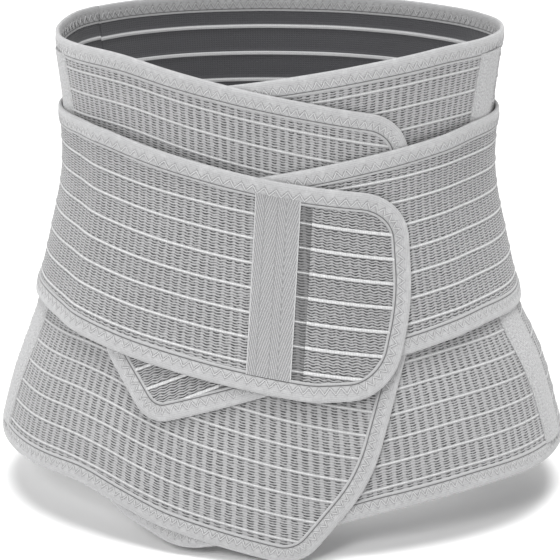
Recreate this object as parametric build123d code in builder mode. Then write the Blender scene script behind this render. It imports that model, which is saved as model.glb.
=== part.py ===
"""Lumbar support belt: a boned back panel, two elastic wings and two outer tension bands.

The belt stands fastened on its lower hem, in the shape it takes round a waist. +Z is up, -Y is the
front, and left and right are the -X and +X sides as seen from the front. The origin is on the
standing surface, under the middle of the belt. Sizes are millimetres.

From the inside out at the front, the layers are right wing, left wing, right band, left band. Each
wing and each band turns away from the back panel at its own seam line, behind the side of the waist.
"""

from build123d import *
from functools import cache
from math import cos, radians, sin
import os

os.makedirs("parts", exist_ok=True)

# ---- torso surface: (height, half width) stations, and depth as a share of width
TORSO = {
    -40: 180.0,
    0: 180.4,
    20: 179.4,
    70: 168.6,
    120: 150.8,
    165: 138.6,
    205: 130.4,
    245: 130.6,
    290: 135.2,
    320: 136.4,
}
DEPTH_SHARE = 0.75
REACH = 260.0

# ---- fabric layers, as the distance of each layer's outer face from the torso surface
LAYER = 2.2
LAYER_GAP = 0.4
LOOP_TAPE = 1.2
RIGHT_WING_FACE = 0.2
LEFT_WING_FACE = RIGHT_WING_FACE + LAYER + LAYER_GAP
RIGHT_BAND_FACE = LEFT_WING_FACE + LAYER + LAYER_GAP
LEFT_BAND_FACE = RIGHT_BAND_FACE + LAYER + LAYER_GAP + LOOP_TAPE

# ---- depths below a layer's outer face
BINDING_LIP = 0.3
FACE_FABRIC = 0.8

# ---- edges and heights
BINDING = 11.0
TOP = 296.0
SIDE_HEM = 34.5
LEFT_WING_TOP = 292.0
BAND_TOP = 247.0
BAND_BOTTOM = 126.0
PAST_SIDE = 230.0

# ---- seam lines, as turns round the torso from the middle of the front
WING_TURN = 117.0
BAND_TURN = 121.0
ANCHOR_TURN = 128.0
WING_SEAM = (20, 290)
BAND_SEAM = (120, 245)
SEAM_GAP = 0.2
WING_CLEAR = 2.0
BAND_CLEAR = 0.8

# ---- bones and their casings
CASING_WIDTH = 14.0
CASING_THICK = 1.4
STAY_WIDTH = 9.0
STAY_THICK = 0.8
STAY_LOW = 52.0
STAY_HIGH = 274.0
BACK_BONES = {"inner": 26.0, "outer": 78.0}
SIDE_BONE = -31.0
SIDE_CASING_WIDTH = 28.0

# ---- front ends
FRONT_LEAN = 0.04
TAPE_START = -7.0
TAPE_WIDTH = 26.2
TAPE_THICK = 0.9
END_PANEL_START = 26.2
WING_HOOK_START = 35.0


@cache
def fabric_tube(inner, outer):
    """Closed tube of fabric that lies between two distances from the torso surface."""
    with BuildPart() as tube:
        for distance, mode in ((outer, Mode.ADD), (inner, Mode.SUBTRACT)):
            for height, half_width in TORSO.items():
                with BuildSketch(Plane.XY.offset(height)):
                    Ellipse(half_width + distance, DEPTH_SHARE * half_width + distance)
            loft(mode=mode)
    return tube.part


def elevation(corners):
    """Outline seen from the front, from (x, height, corner radius) triples."""
    with BuildSketch(Plane.XZ) as face:
        with BuildLine():
            FilletPolyline(
                *[(x, height) for x, height, _ in corners],
                radius=[radius for _, _, radius in corners],
                close=True,
            )
        make_face()
    return face.sketch


def inside_binding(outline):
    """The part of an outline that its edge binding leaves bare."""
    return offset(outline, amount=-BINDING, kind=Kind.INTERSECTION, mode=Mode.PRIVATE)


def torso_point(side, turn, height, distance):
    """Point beside the torso surface, at a turn from the front, on one of its stations."""
    half_width = TORSO[height] + distance
    half_depth = DEPTH_SHARE * TORSO[height] + distance
    return Vector(side * half_width * sin(radians(turn)), -half_depth * cos(radians(turn)), height)


def seam_plane(side, turn, heights, distance):
    """Plane through a seam line, facing the front; its X direction runs up the line."""
    low = torso_point(side, turn, heights[0], distance)
    high = torso_point(side, turn, heights[1], distance)
    line = (high - low).normalized()
    outward = Vector(side * DEPTH_SHARE * sin(radians(turn)), -cos(radians(turn)), 0)
    return Plane(origin=low, x_dir=line, z_dir=outward.cross(line) * side)


def upright_strip(plane, middle, width, low, high):
    """Upright rectangle on a plane, between two heights."""
    with BuildSketch(plane) as strip:
        with Locations((middle, (low + high) / 2)):
            Rectangle(width, high - low)
    return strip.sketch


def front_strip(middle, width, low, high):
    """Upright strip seen from the front."""
    return upright_strip(Plane.XZ, middle, width, low, high)


def side_strip(middle, width, low, high):
    """Upright strip seen from the side."""
    return upright_strip(Plane.YZ, middle, width, low, high)


def leaning_strip(side, start, width):
    """Strip across a band's front end that leans towards the end as it rises, seen from the front."""
    lean = FRONT_LEAN * TOP / 2
    low = (start - lean, start + width - lean)
    high = (start + width + lean, start + lean)
    with BuildSketch(Plane.XZ) as strip:
        with BuildLine():
            Polyline(
                *[(-side * x, 0) for x in low],
                *[(-side * x, TOP) for x in high],
                close=True,
            )
        make_face()
    return strip.sketch


def space_before(seam, side):
    """Space that a wing or band fills: before its seam on its own side, and the front of the other."""
    with BuildPart() as space:
        with Locations((side * REACH / 2, 0, TOP / 2)):
            Box(REACH, 2 * REACH, 2 * TOP)
        split(bisect_by=seam.offset(SEAM_GAP), keep=Keep.TOP)
        with Locations((-side * REACH / 2, -REACH / 2, TOP / 2)):
            Box(REACH, REACH, 2 * TOP)
    return space.part


def write(piece, name):
    """Label one finished piece and write its STEP file."""
    piece.part.label = name
    export_step(piece.part, f"parts/{name}.step")


# ---- outlines seen from the front
right_wing_outline = elevation([
    (PAST_SIDE, SIDE_HEM, 1),
    (PAST_SIDE, TOP, 1),
    (105, TOP, 150),
    (-80, 268, 28),
    (-92, 190, 150),
    (-96, 120, 200),
    (-102, 60, 60),
    (-93, 24, 22),
    (-48, 3, 40),
    (70, 27.5, 200),
    (130, SIDE_HEM, 200),
])
left_wing_outline = elevation([
    (-PAST_SIDE, SIDE_HEM, 1),
    (-PAST_SIDE, LEFT_WING_TOP, 1),
    (-88, LEFT_WING_TOP, 150),
    (76, 257, 26),
    (92, 210, 80),
    (87, 130, 200),
    (66, 48, 90),
    (25, -2.3, 26),
    (-60, 17, 150),
    (-112, SIDE_HEM, 60),
])
right_band_outline = elevation([
    (PAST_SIDE, BAND_BOTTOM, 1),
    (PAST_SIDE, BAND_TOP, 1),
    (122, BAND_TOP, 150),
    (-82, 210, 22),
    (-94, 150, 100),
    (-99, 120, 30),
    (-64.5, 76.5, 12),
    (48, 113, 150),
    (130, BAND_BOTTOM, 150),
])
left_band_outline = elevation([
    (-PAST_SIDE, BAND_BOTTOM, 1),
    (-PAST_SIDE, BAND_TOP, 1),
    (-104, BAND_TOP, 150),
    (10, 222.5, 300),
    (80, 211.5, 22),
    (85, 150, 150),
    (77, 96.5, 30),
    (30, 96.5, 100),
    (-145, BAND_BOTTOM, 100),
])
back_outline = elevation([
    (-PAST_SIDE, SIDE_HEM, 1),
    (-PAST_SIDE, TOP, 1),
    (PAST_SIDE, TOP, 1),
    (PAST_SIDE, SIDE_HEM, 1),
    (140, SIDE_HEM, 80),
    (52, 0, 80),
    (-52, 0, 80),
    (-140, SIDE_HEM, 80),
])
outlines = {
    "right_wing": right_wing_outline,
    "left_wing": left_wing_outline,
    "right_band": right_band_outline,
    "left_band": left_band_outline,
    "back": back_outline,
}
fields = {name: inside_binding(outline) for name, outline in outlines.items()}

# ---- seam planes
sides = {"left": -1, "right": 1}
tops = {"left": LEFT_WING_TOP, "right": TOP}
faces = {
    "left_wing": LEFT_WING_FACE,
    "right_wing": RIGHT_WING_FACE,
    "left_band": LEFT_BAND_FACE,
    "right_band": RIGHT_BAND_FACE,
    "back": RIGHT_WING_FACE,
}
seams = {}
for side, sign in sides.items():
    wing_distance = faces[f"{side}_wing"] + WING_CLEAR
    band_distance = faces[f"{side}_band"] + BAND_CLEAR
    seams[f"{side}_wing"] = seam_plane(sign, WING_TURN, WING_SEAM, wing_distance)
    seams[f"{side}_band"] = seam_plane(sign, BAND_TURN, BAND_SEAM, band_distance)
    seams[f"{side}_anchor"] = seam_plane(sign, ANCHOR_TURN, BAND_SEAM, band_distance)


# ---- back panel
face = faces["back"]
with BuildPart() as back_panel:
    add(fabric_tube(face - BINDING_LIP - FACE_FABRIC, face - BINDING_LIP))
    extrude(fields["back"], amount=REACH, both=True, mode=Mode.INTERSECT)
    for side in sides:
        split(bisect_by=seams[f"{side}_wing"].offset(-SEAM_GAP), keep=Keep.BOTTOM)
write(back_panel, "back_panel")

with BuildPart() as back_lining:
    add(fabric_tube(face - LAYER + BINDING_LIP, face - BINDING_LIP - FACE_FABRIC))
    extrude(fields["back"], amount=REACH, both=True, mode=Mode.INTERSECT)
    for side in sides:
        split(bisect_by=seams[f"{side}_wing"].offset(-SEAM_GAP), keep=Keep.BOTTOM)
write(back_lining, "back_lining")

for edge, keep in (("top", Keep.TOP), ("bottom", Keep.BOTTOM)):
    with BuildPart() as back_binding:
        add(fabric_tube(face - LAYER, face))
        extrude(outlines["back"] - fields["back"], amount=REACH, both=True, mode=Mode.INTERSECT)
        split(bisect_by=Plane.XY.offset(TOP / 2), keep=keep)
        for side in sides:
            split(bisect_by=seams[f"{side}_wing"].offset(-SEAM_GAP), keep=Keep.BOTTOM)
    write(back_binding, f"back_binding_{edge}")

# ---- bones of the back panel, each stay closed inside its casing
skin = face - BINDING_LIP
stay_inner = skin + (CASING_THICK - STAY_THICK) / 2
for side, sign in sides.items():
    for place, x in BACK_BONES.items():
        with BuildPart() as stay:
            add(fabric_tube(stay_inner, stay_inner + STAY_THICK))
            strip = front_strip(sign * x, STAY_WIDTH, STAY_LOW, STAY_HIGH)
            extrude(strip, amount=-REACH, mode=Mode.INTERSECT)
        write(stay, f"{side}_back_{place}_stay")
        with BuildPart() as casing:
            add(fabric_tube(skin, skin + CASING_THICK))
            strip = front_strip(sign * x, CASING_WIDTH, 0, TOP) & fields["back"]
            extrude(strip, amount=-REACH, mode=Mode.INTERSECT)
            add(stay.part, mode=Mode.SUBTRACT)
        write(casing, f"{side}_back_{place}_casing")

# ---- roots of the two outer bands, sewn to the back panel
for side in sides:
    with BuildPart() as anchor:
        add(fabric_tube(skin, faces[f"{side}_band"]))
        extrude(fields[f"{side}_band"], amount=REACH, both=True, mode=Mode.INTERSECT)
        split(bisect_by=seams[f"{side}_band"].offset(-SEAM_GAP), keep=Keep.BOTTOM)
        split(bisect_by=seams[f"{side}_anchor"], keep=Keep.TOP)
    write(anchor, f"{side}_band_anchor")


# ---- wings
for side, sign in sides.items():
    name = f"{side}_wing"
    face = faces[name]
    space = space_before(seams[name], sign)
    skin = face - BINDING_LIP
    backing = skin - FACE_FABRIC
    inside = face - LAYER
    stay_inner = skin + (CASING_THICK - STAY_THICK) / 2
    has_hook = name == "left_wing"

    with BuildPart() as wing_panel:
        add(fabric_tube(backing, skin))
        extrude(fields[name], amount=REACH, both=True, mode=Mode.INTERSECT)
        add(space, mode=Mode.INTERSECT)
    write(wing_panel, f"{name}_panel")

    with BuildPart() as wing_binding:
        add(fabric_tube(inside, face))
        extrude(outlines[name] - fields[name], amount=REACH, both=True, mode=Mode.INTERSECT)
        add(space, mode=Mode.INTERSECT)
    write(wing_binding, f"{name}_binding")

    hook_zone = fields[name] & front_strip(WING_HOOK_START + REACH / 2, REACH, 0, TOP)
    lined_zone = fields[name] - hook_zone if has_hook else fields[name]
    with BuildPart() as wing_lining:
        add(fabric_tube(inside + BINDING_LIP, backing))
        extrude(lined_zone, amount=REACH, both=True, mode=Mode.INTERSECT)
        add(space, mode=Mode.INTERSECT)
    write(wing_lining, f"{name}_lining")

    if has_hook:
        with BuildPart() as wing_hook:
            add(fabric_tube(inside, backing))
            extrude(hook_zone, amount=REACH, both=True, mode=Mode.INTERSECT)
            add(space, mode=Mode.INTERSECT)
        write(wing_hook, f"{name}_hook")

    with BuildPart() as side_stay:
        add(fabric_tube(stay_inner, stay_inner + STAY_THICK))
        strip = side_strip(SIDE_BONE, STAY_WIDTH, STAY_LOW, STAY_HIGH)
        extrude(strip, amount=sign * REACH, mode=Mode.INTERSECT)
    write(side_stay, f"{side}_side_stay")

    with BuildPart() as side_casing:
        add(fabric_tube(skin, skin + CASING_THICK))
        strip = side_strip(SIDE_BONE, SIDE_CASING_WIDTH, SIDE_HEM + BINDING, tops[side] - BINDING)
        extrude(strip, amount=sign * REACH, mode=Mode.INTERSECT)
        add(side_stay.part, mode=Mode.SUBTRACT)
    write(side_casing, f"{side}_side_casing")


# ---- tension bands
for side, sign in sides.items():
    name = f"{side}_band"
    face = faces[name]
    space = space_before(seams[name], sign)
    skin = face - BINDING_LIP
    backing = skin - FACE_FABRIC
    inside = face - LAYER
    bare = fields[name]
    end_zone = bare & leaning_strip(sign, END_PANEL_START, REACH)

    with BuildPart() as band_panel:
        add(fabric_tube(inside + BINDING_LIP, skin))
        extrude(bare - end_zone, amount=REACH, both=True, mode=Mode.INTERSECT)
        add(space, mode=Mode.INTERSECT)
    write(band_panel, f"{name}_panel")

    with BuildPart() as end_panel:
        add(fabric_tube(backing, skin))
        extrude(end_zone, amount=REACH, both=True, mode=Mode.INTERSECT)
        add(space, mode=Mode.INTERSECT)
    write(end_panel, f"{name}_end_panel")

    with BuildPart() as band_hook:
        add(fabric_tube(inside, backing))
        extrude(end_zone, amount=REACH, both=True, mode=Mode.INTERSECT)
        add(space, mode=Mode.INTERSECT)
    write(band_hook, f"{name}_hook")

    with BuildPart() as band_binding:
        add(fabric_tube(inside, face))
        extrude(outlines[name] - bare, amount=REACH, both=True, mode=Mode.INTERSECT)
        add(space, mode=Mode.INTERSECT)
    write(band_binding, f"{name}_binding")

    with BuildPart() as hand_tape:
        add(fabric_tube(skin, skin + TAPE_THICK))
        extrude(bare & leaning_strip(sign, TAPE_START, TAPE_WIDTH), amount=REACH, mode=Mode.INTERSECT)
    write(hand_tape, f"{side}_hand_tape")
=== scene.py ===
"""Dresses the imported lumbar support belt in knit, lining, binding, stitching, tapes and bones.

Lengths are in metres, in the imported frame: +Z is up, -Y is the front, and left is the -X side. All
fabric lies on one smooth torso form. A place on it is given by its turn round the form (0 at the
middle of the front, growing towards +X), its height, and its lift off the form.
"""

import logging
from collections.abc import Callable
from dataclasses import dataclass
from enum import Enum
from functools import cached_property
from math import asin, cos, pi, radians, sin, tan, tau

import bmesh
import bpy
import numpy as np
from mathutils import Euler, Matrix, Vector


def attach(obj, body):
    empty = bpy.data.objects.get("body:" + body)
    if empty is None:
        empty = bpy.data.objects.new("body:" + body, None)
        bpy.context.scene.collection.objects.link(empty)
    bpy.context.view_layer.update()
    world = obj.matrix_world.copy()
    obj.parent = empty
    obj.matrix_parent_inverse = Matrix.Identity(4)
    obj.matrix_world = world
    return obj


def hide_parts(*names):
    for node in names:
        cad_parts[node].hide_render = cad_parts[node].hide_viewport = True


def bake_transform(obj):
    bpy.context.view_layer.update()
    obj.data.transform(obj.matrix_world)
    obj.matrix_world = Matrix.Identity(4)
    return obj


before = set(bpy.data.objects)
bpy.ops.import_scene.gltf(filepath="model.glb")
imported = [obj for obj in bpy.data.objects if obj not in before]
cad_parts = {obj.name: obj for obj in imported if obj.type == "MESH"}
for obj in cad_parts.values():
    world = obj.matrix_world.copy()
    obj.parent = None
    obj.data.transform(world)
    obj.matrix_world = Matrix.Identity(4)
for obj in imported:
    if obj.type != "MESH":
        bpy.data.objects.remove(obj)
log = logging.getLogger("support_belt")
Array = np.ndarray
MM = 0.001


class Side(Enum):
    """Side of the belt as seen from the front, with its sign along X."""

    LEFT = -1
    RIGHT = 1

    @property
    def sign(self) -> int:
        """Sign of this side along X."""
        return self.value

    @property
    def word(self) -> str:
        """Name of this side as it is used in piece names."""
        return self.name.lower()


class Ribs(Enum):
    """How the ribs of a knit run over a cut piece."""

    ALONG_BOTTOM = "each rib keeps its distance above the bottom edge"
    BETWEEN_EDGES = "the ribs spread evenly between the top and bottom edges"


# ---------------------------------------------------------------------------- torso form and edges


def ease(value: Array | float, start: float, end: float) -> Array:
    """Smooth step from 0 to 1.

    Args:
        value: Where to read the step.
        start: Value at which the step leaves 0.
        end: Value at which the step reaches 1.

    Returns:
        The step's height at each value.
    """
    share = np.clip((np.asarray(value, float) - start) / (end - start), 0.0, 1.0)
    return share * share * (3.0 - 2.0 * share)


@dataclass(frozen=True)
class TorsoForm:
    """Hourglass form that the belt is fastened round: an ellipse at every height."""

    heights: tuple[float, ...] = (-0.04, 0.0, 0.02, 0.07, 0.12, 0.165, 0.205, 0.245, 0.29, 0.32)
    half_widths: tuple[float, ...] = (
        0.18, 0.1804, 0.1794, 0.1686, 0.1508, 0.1386, 0.1304, 0.1306, 0.1352, 0.1364,
    )
    depth_share: float = 0.75
    weave_height: float = 0.2

    @cached_property
    def _slopes(self) -> Array:
        """Slope of the half width at each station."""
        return np.gradient(np.array(self.half_widths), np.array(self.heights))

    def half_width(self, height: Array | float) -> Array:
        """Half width of the form, as a smooth curve through its stations.

        Args:
            height: Heights to read.

        Returns:
            Half widths at those heights.
        """
        z = np.clip(np.asarray(height, float), self.heights[0], self.heights[-1])
        known = np.array(self.heights)
        low = np.clip(np.searchsorted(known, z, side="right") - 1, 0, len(known) - 2)
        span = known[low + 1] - known[low]
        t = (z - known[low]) / span
        a, b = np.array(self.half_widths)[low], np.array(self.half_widths)[low + 1]
        da, db = self._slopes[low] * span, self._slopes[low + 1] * span
        return (
            a * (2 * t**3 - 3 * t**2 + 1)
            + da * (t**3 - 2 * t**2 + t)
            + b * (3 * t**2 - 2 * t**3)
            + db * (t**3 - t**2)
        )

    def drape(self, turn: Array, height: Array) -> Array:
        """Slow swell of the fabric off a perfect ellipse, the same for every layer.

        Args:
            turn: Turns round the form.
            height: Heights.

        Returns:
            Distance off the ellipse, in metres.
        """
        swell = 0.55 * np.sin(3.1 * turn + 9.0 * height + 0.7)
        swell = swell + 0.35 * np.sin(6.3 * turn - 21.0 * height + 2.1)
        ripple = 0.16 * np.sin(17.0 * turn + 31.0 * height) * np.sin(46.0 * height + 1.3)
        flare = 4.5 * ease(turn, 0.5, 1.3) * ease(turn, 2.6, 1.8) * ease(height, 0.13, 0.09)
        return MM * (swell + ripple + flare)

    def place(self, turn: Array, height: Array, lift: Array | float) -> Array:
        """Points of the form.

        Args:
            turn: Turns round the form, in radians.
            height: Heights.
            lift: Distance off the form, outwards.

        Returns:
            Points as rows of x, y, z.
        """
        turn, height, lift = np.broadcast_arrays(turn, height, lift)
        width = self.half_width(height)
        off = lift + self.drape(turn, height)
        x = (width + off) * np.sin(turn)
        y = -(self.depth_share * width + off) * np.cos(turn)
        return np.stack([x, y, height], -1)

    def stretch(self, turn: Array, height: Array) -> Array:
        """Length along the form for each radian of turn."""
        width = self.half_width(height)
        return np.hypot(width * np.cos(turn), self.depth_share * width * np.sin(turn))

    def turn_at(self, x: Array, height: Array, lift: float) -> Array:
        """Turn of a point on the front half, from its distance across."""
        return np.arcsin(np.clip(x / (self.half_width(height) + lift), -1.0, 1.0))

    def turn_at_depth(self, depth: float, height: Array) -> Array:
        """Turn, on the right side, of the points that lie at a depth in front of the middle."""
        return np.arccos(np.clip(depth / (self.depth_share * self.half_width(height)), -1.0, 1.0))

    def along(self, turn: Array) -> Array:
        """Length round the form at the waist, from the middle of the front.

        Args:
            turn: Turns round the form.

        Returns:
            The length at each turn, negative on the left.
        """
        steps = np.linspace(-1.5 * pi, 1.5 * pi, 2401)
        spans = self.stretch(steps[:-1], self.weave_height) * np.diff(steps)
        length = np.concatenate([[0.0], np.cumsum(spans)])
        return np.interp(turn, steps, length - np.interp(0.0, steps, length))


FORM = TorsoForm()


def rounded(corners: list[tuple[float, float, float]], step: float) -> Array:
    """Walk a line of straight runs whose corners are rounded with arcs.

    Args:
        corners: Points as across, height and corner radius; the first and last are ends.
        step: Spacing of the points along arcs.

    Returns:
        Points of the line as rows of across, height.
    """
    points = [np.array(c[:2]) for c in corners]
    line = [points[0]]
    for before, here, after, corner in zip(points, points[1:], points[2:], corners[1:]):
        into, out = here - before, after - here
        into, out = into / np.linalg.norm(into), out / np.linalg.norm(out)
        swing = np.arctan2(into[0] * out[1] - into[1] * out[0], into @ out)
        if abs(swing) < 1e-4 or corner[2] <= 0:
            line.append(here)
            continue
        reach = corner[2] * abs(tan(swing / 2))
        start = here - into * reach
        normal = np.sign(swing) * np.array([-into[1], into[0]])
        centre = start + normal * corner[2]
        count = max(2, int(abs(swing) * corner[2] / step) + 1)
        across, up = start - centre
        for turn in np.linspace(0.0, swing, count):
            arm = (across * cos(turn) - up * sin(turn), across * sin(turn) + up * cos(turn))
            line.append(centre + np.array(arm))
    line.append(points[-1])
    return np.array(line)


def lengths(line: Array, size: Array | None = None) -> Array:
    """Length along a line up to each of its points.

    Args:
        line: Points as rows.
        size: Length of one unit of each column, or None where all are lengths already.

    Returns:
        The length at each point.
    """
    gaps = np.diff(line, axis=0)
    if size is not None:
        gaps = gaps * (size[1:] + size[:-1]) / 2
    return np.concatenate([[0.0], np.cumsum(np.linalg.norm(gaps, axis=1))])


def respaced(line: Array, step: float, size: Array | None = None) -> Array:
    """Space the points of a line evenly along its own length.

    Args:
        line: Points as rows.
        step: Spacing wanted.
        size: Length of one unit of each column, or None where all are lengths already.

    Returns:
        The line with evenly spaced points.
    """
    length = lengths(line, size)
    keep = np.concatenate([[True], np.diff(length) > 1e-9])
    line, length = line[keep], length[keep]
    wanted = np.linspace(0.0, length[-1], max(3, int(round(length[-1] / step)) + 1))
    return np.stack([np.interp(wanted, length, column) for column in line.T], 1)


def inset(line: Array, distance: Array | float, inward: int) -> Array:
    """Move each point of a chart line sideways over the fabric.

    Args:
        line: Points as turn and height.
        distance: How far to move them, in metres.
        inward: 1 if the cloth lies to the left of the line's direction, -1 if to its right.

    Returns:
        The moved points, as turn and height.
    """
    size = np.stack([FORM.stretch(line[:, 0], line[:, 1]), np.ones(len(line))], 1)
    along = np.gradient(line, axis=0) * size
    along /= np.maximum(np.linalg.norm(along, axis=1, keepdims=True), 1e-12)
    side = np.stack([-along[:, 1], along[:, 0]], 1) * inward
    return line + side * np.reshape(distance, (-1, 1)) / size


def middles(values: Array) -> Array:
    """Value at the middle of each grid cell, from the values at its corners."""
    return (values[1:, 1:] + values[:-1, :-1]) / 2


def enclosed(turn: Array, height: Array, ring: Array) -> Array:
    """Which places lie inside a closed ring on the chart.

    Args:
        turn: Turns of the places.
        height: Heights of the places.
        ring: Points of the ring as turn and height, not repeated at the end.

    Returns:
        True for each place that is inside.
    """
    inside = np.zeros(np.shape(turn), bool)
    for (t0, z0), (t1, z1) in zip(ring, np.roll(ring, -1, axis=0)):
        if z0 == z1:
            continue
        crosses = (z0 > height) != (z1 > height)
        inside ^= crosses & (turn < (t1 - t0) * (height - z0) / (z1 - z0) + t0)
    return inside


@dataclass(frozen=True)
class Ramp:
    """Lift of a layer off the form, easing between stated turns, so that it hugs what is under it."""

    steps: tuple[tuple[float, float], ...]

    def at(self, turn: Array | float) -> Array:
        """Lift in metres at some turns, which the steps state in degrees and millimetres.

        Args:
            turn: Turns round the form, in radians.

        Returns:
            The lift at each turn.
        """
        angle = np.degrees(np.asarray(turn, float))
        lift = np.full(np.shape(angle), self.steps[0][1])
        for (a, low), (b, high) in zip(self.steps, self.steps[1:]):
            lift = lift + (high - low) * ease(angle, a, b)
        return lift * MM


Corners = tuple[tuple[float, float, float], ...]
Runs = tuple[tuple[float, float], ...]
RIB_BEND = np.linspace(-20.0, 20.0, 9) * MM


@dataclass(frozen=True)
class Cut:
    """Cut of a wing or band, from its seam behind the side round to its rounded front end.

    Corners and runs are distances across the front and heights, in millimetres. The two runs are the
    straight lines that the ribs follow.
    """

    side: Side
    seam: float
    top: float
    bottom: float
    seam_top: float
    ramp: Ramp
    corners: Corners
    reach: tuple[float, float]
    top_runs: Runs
    bottom_runs: Runs
    ribs: Ribs
    first_rib: float
    rib_pitch: float
    full_height: float

    def _level(self, height: float, across: float, seam_height: float) -> Array:
        """The level stretch of an edge, from the seam to where the edge starts across the front.

        Args:
            height: Height of the edge at the front, in millimetres.
            across: Distance across the front where the edge leaves the side, in millimetres.
            seam_height: Height of the edge at the seam, in millimetres.

        Returns:
            Points as turn and height.
        """
        lift = float(self.ramp.at(radians(self.side.sign * 75)))
        inner = asin(across * MM / (float(FORM.half_width(height * MM)) + lift))
        turns = np.linspace(radians(self.seam), inner, 40)[:-1]
        heights = height + (seam_height - height) * ease(turns, radians(75), radians(self.seam))
        return np.stack([self.side.sign * turns, heights * MM], 1)

    def outline(self) -> Array:
        """Edge of the piece from its seam round the front end and back, as turn and height.

        Returns:
            Points every 2 mm, from the top of the seam to its foot.
        """
        sign = self.side.sign
        start = (sign * self.reach[0], self.top, 0.0)
        end = (sign * self.reach[1], self.bottom, 0.0)
        front = respaced(rounded([start, *self.corners, end], 1.0), 1.0) * MM
        turns = FORM.turn_at(front[:, 0], front[:, 1], 0.0)
        for _ in range(4):
            turns = FORM.turn_at(front[:, 0], front[:, 1], self.ramp.at(turns))
        upper = self._level(self.top, self.reach[0], self.seam_top)
        lower = self._level(self.bottom, self.reach[1], self.bottom)[::-1]
        line = np.concatenate([upper, np.stack([turns, front[:, 1]], 1), lower])
        size = np.stack([FORM.stretch(line[:, 0], line[:, 1]), np.ones(len(line))], 1)
        return respaced(line, 2.0 * MM, size)

    def edges(self) -> list[tuple[Array, int]]:
        """Bound edges, each with the side of it on which the cloth lies."""
        return [(self.outline(), self.side.sign)]

    def ring(self, margin: float) -> Array:
        """Closed ring that lies a margin inside the outline."""
        return inset(self.outline(), margin, self.side.sign)

    def _run(self, runs: Runs, turn: Array, level: float, seam_level: float) -> Array:
        """Height of a reference line at some turns, in metres.

        Args:
            runs: The line, as distances across the front and heights in millimetres.
            turn: Turns to read.
            level: Height of the line beside the waist.
            seam_level: Height of the line at the seam.

        Returns:
            The height at each turn.
        """
        known = np.array(runs) * MM
        known = known[np.argsort(known[:, 0])]
        beyond = known[[0, -1]] + 5.0 * (known[[0, -1]] - known[[1, -2]])
        x, z = np.concatenate([beyond[:1], known, beyond[1:]]).T
        height = np.full(np.shape(turn), level * MM)
        for _ in range(6):
            across = (FORM.half_width(height) + self.ramp.at(turn)) * np.sin(turn)
            value = np.mean([np.interp(across + shift, x, z) for shift in RIB_BEND], axis=0)
            height = np.where(np.abs(turn) > pi / 2, level * MM, value)
        away = ease(np.abs(turn), radians(75), radians(self.seam))
        return height + (seam_level - level) * MM * away

    def height_of(self, turn: Array, rise: Array) -> Array:
        """Height of the threads that run a given rise above the bottom edge of the straight cloth.

        Args:
            turn: Turns of the places.
            rise: Rises above the bottom edge.

        Returns:
            The height of each place.
        """
        bottom = self._run(self.bottom_runs, turn, self.bottom, self.bottom)
        if self.ribs is Ribs.ALONG_BOTTOM:
            return bottom + rise
        top = self._run(self.top_runs, turn, self.top, self.seam_top)
        return bottom + rise * (top - bottom) / (self.full_height * MM)

    def turns(self) -> tuple[float, float]:
        """Lowest and highest turn of the piece."""
        found = self.outline()[:, 0]
        return float(found.min()), float(found.max())


@dataclass(frozen=True)
class BackCut:
    """Cut of the back panel: a level top, and a hem that drops to the middle of the back."""

    seam: float
    top: float
    corners: Corners
    side_hem: float
    ramp: Ramp
    first_rib: float
    rib_pitch: float
    full_height: float

    def edges(self) -> list[tuple[Array, int]]:
        """Top and bottom edges, each with the side of it on which the cloth lies.

        Returns:
            Each edge as turn and height, with its side.
        """
        start, end = radians(self.seam), tau - radians(self.seam)
        top = np.stack([np.linspace(start, end, 200), np.full(200, self.top * MM)], 1)
        reach = 156.0
        line = [(reach, self.side_hem, 0.0), *self.corners, (-reach, self.side_hem, 0.0)]
        low = respaced(rounded(line, 1.0), 1.0) * MM
        turns = pi - FORM.turn_at(low[:, 0], low[:, 1], self.ramp.at(pi))
        middle = np.stack([turns, low[:, 1]], 1)
        level = self.side_hem * MM
        before = np.stack([np.linspace(start, turns[0], 30)[:-1], np.full(29, level)], 1)
        after = np.stack([np.linspace(turns[-1], end, 30)[1:], np.full(29, level)], 1)
        bottom = np.concatenate([before, middle, after])
        found = []
        for edge, inward in ((top, -1), (bottom, 1)):
            size = np.stack([FORM.stretch(edge[:, 0], edge[:, 1]), np.ones(len(edge))], 1)
            found.append((respaced(edge, 2.0 * MM, size), inward))
        return found

    def ring(self, margin: float) -> Array:
        """Closed ring that lies a margin inside both edges."""
        (top, down), (bottom, up) = self.edges()
        return np.concatenate([inset(top, margin, down), inset(bottom, margin, up)[::-1]])

    def height_of(self, turn: Array, rise: Array) -> Array:
        """Height of the threads that run a given rise above the hem: they are all level."""
        return np.broadcast_to(rise, np.shape(turn)).copy()

    def turns(self) -> tuple[float, float]:
        """Lowest and highest turn of the piece."""
        return radians(self.seam), tau - radians(self.seam)


# ---------------------------------------------------------------------------- meshes

WEAVE = "weave"
STITCH_LOW, STITCH_HIGH, STITCH_STEP = 0.0047, 0.0088, 0.0006
THREAD_RADIUS, FINE_THREAD_RADIUS = 0.00034, 0.0002


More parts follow.
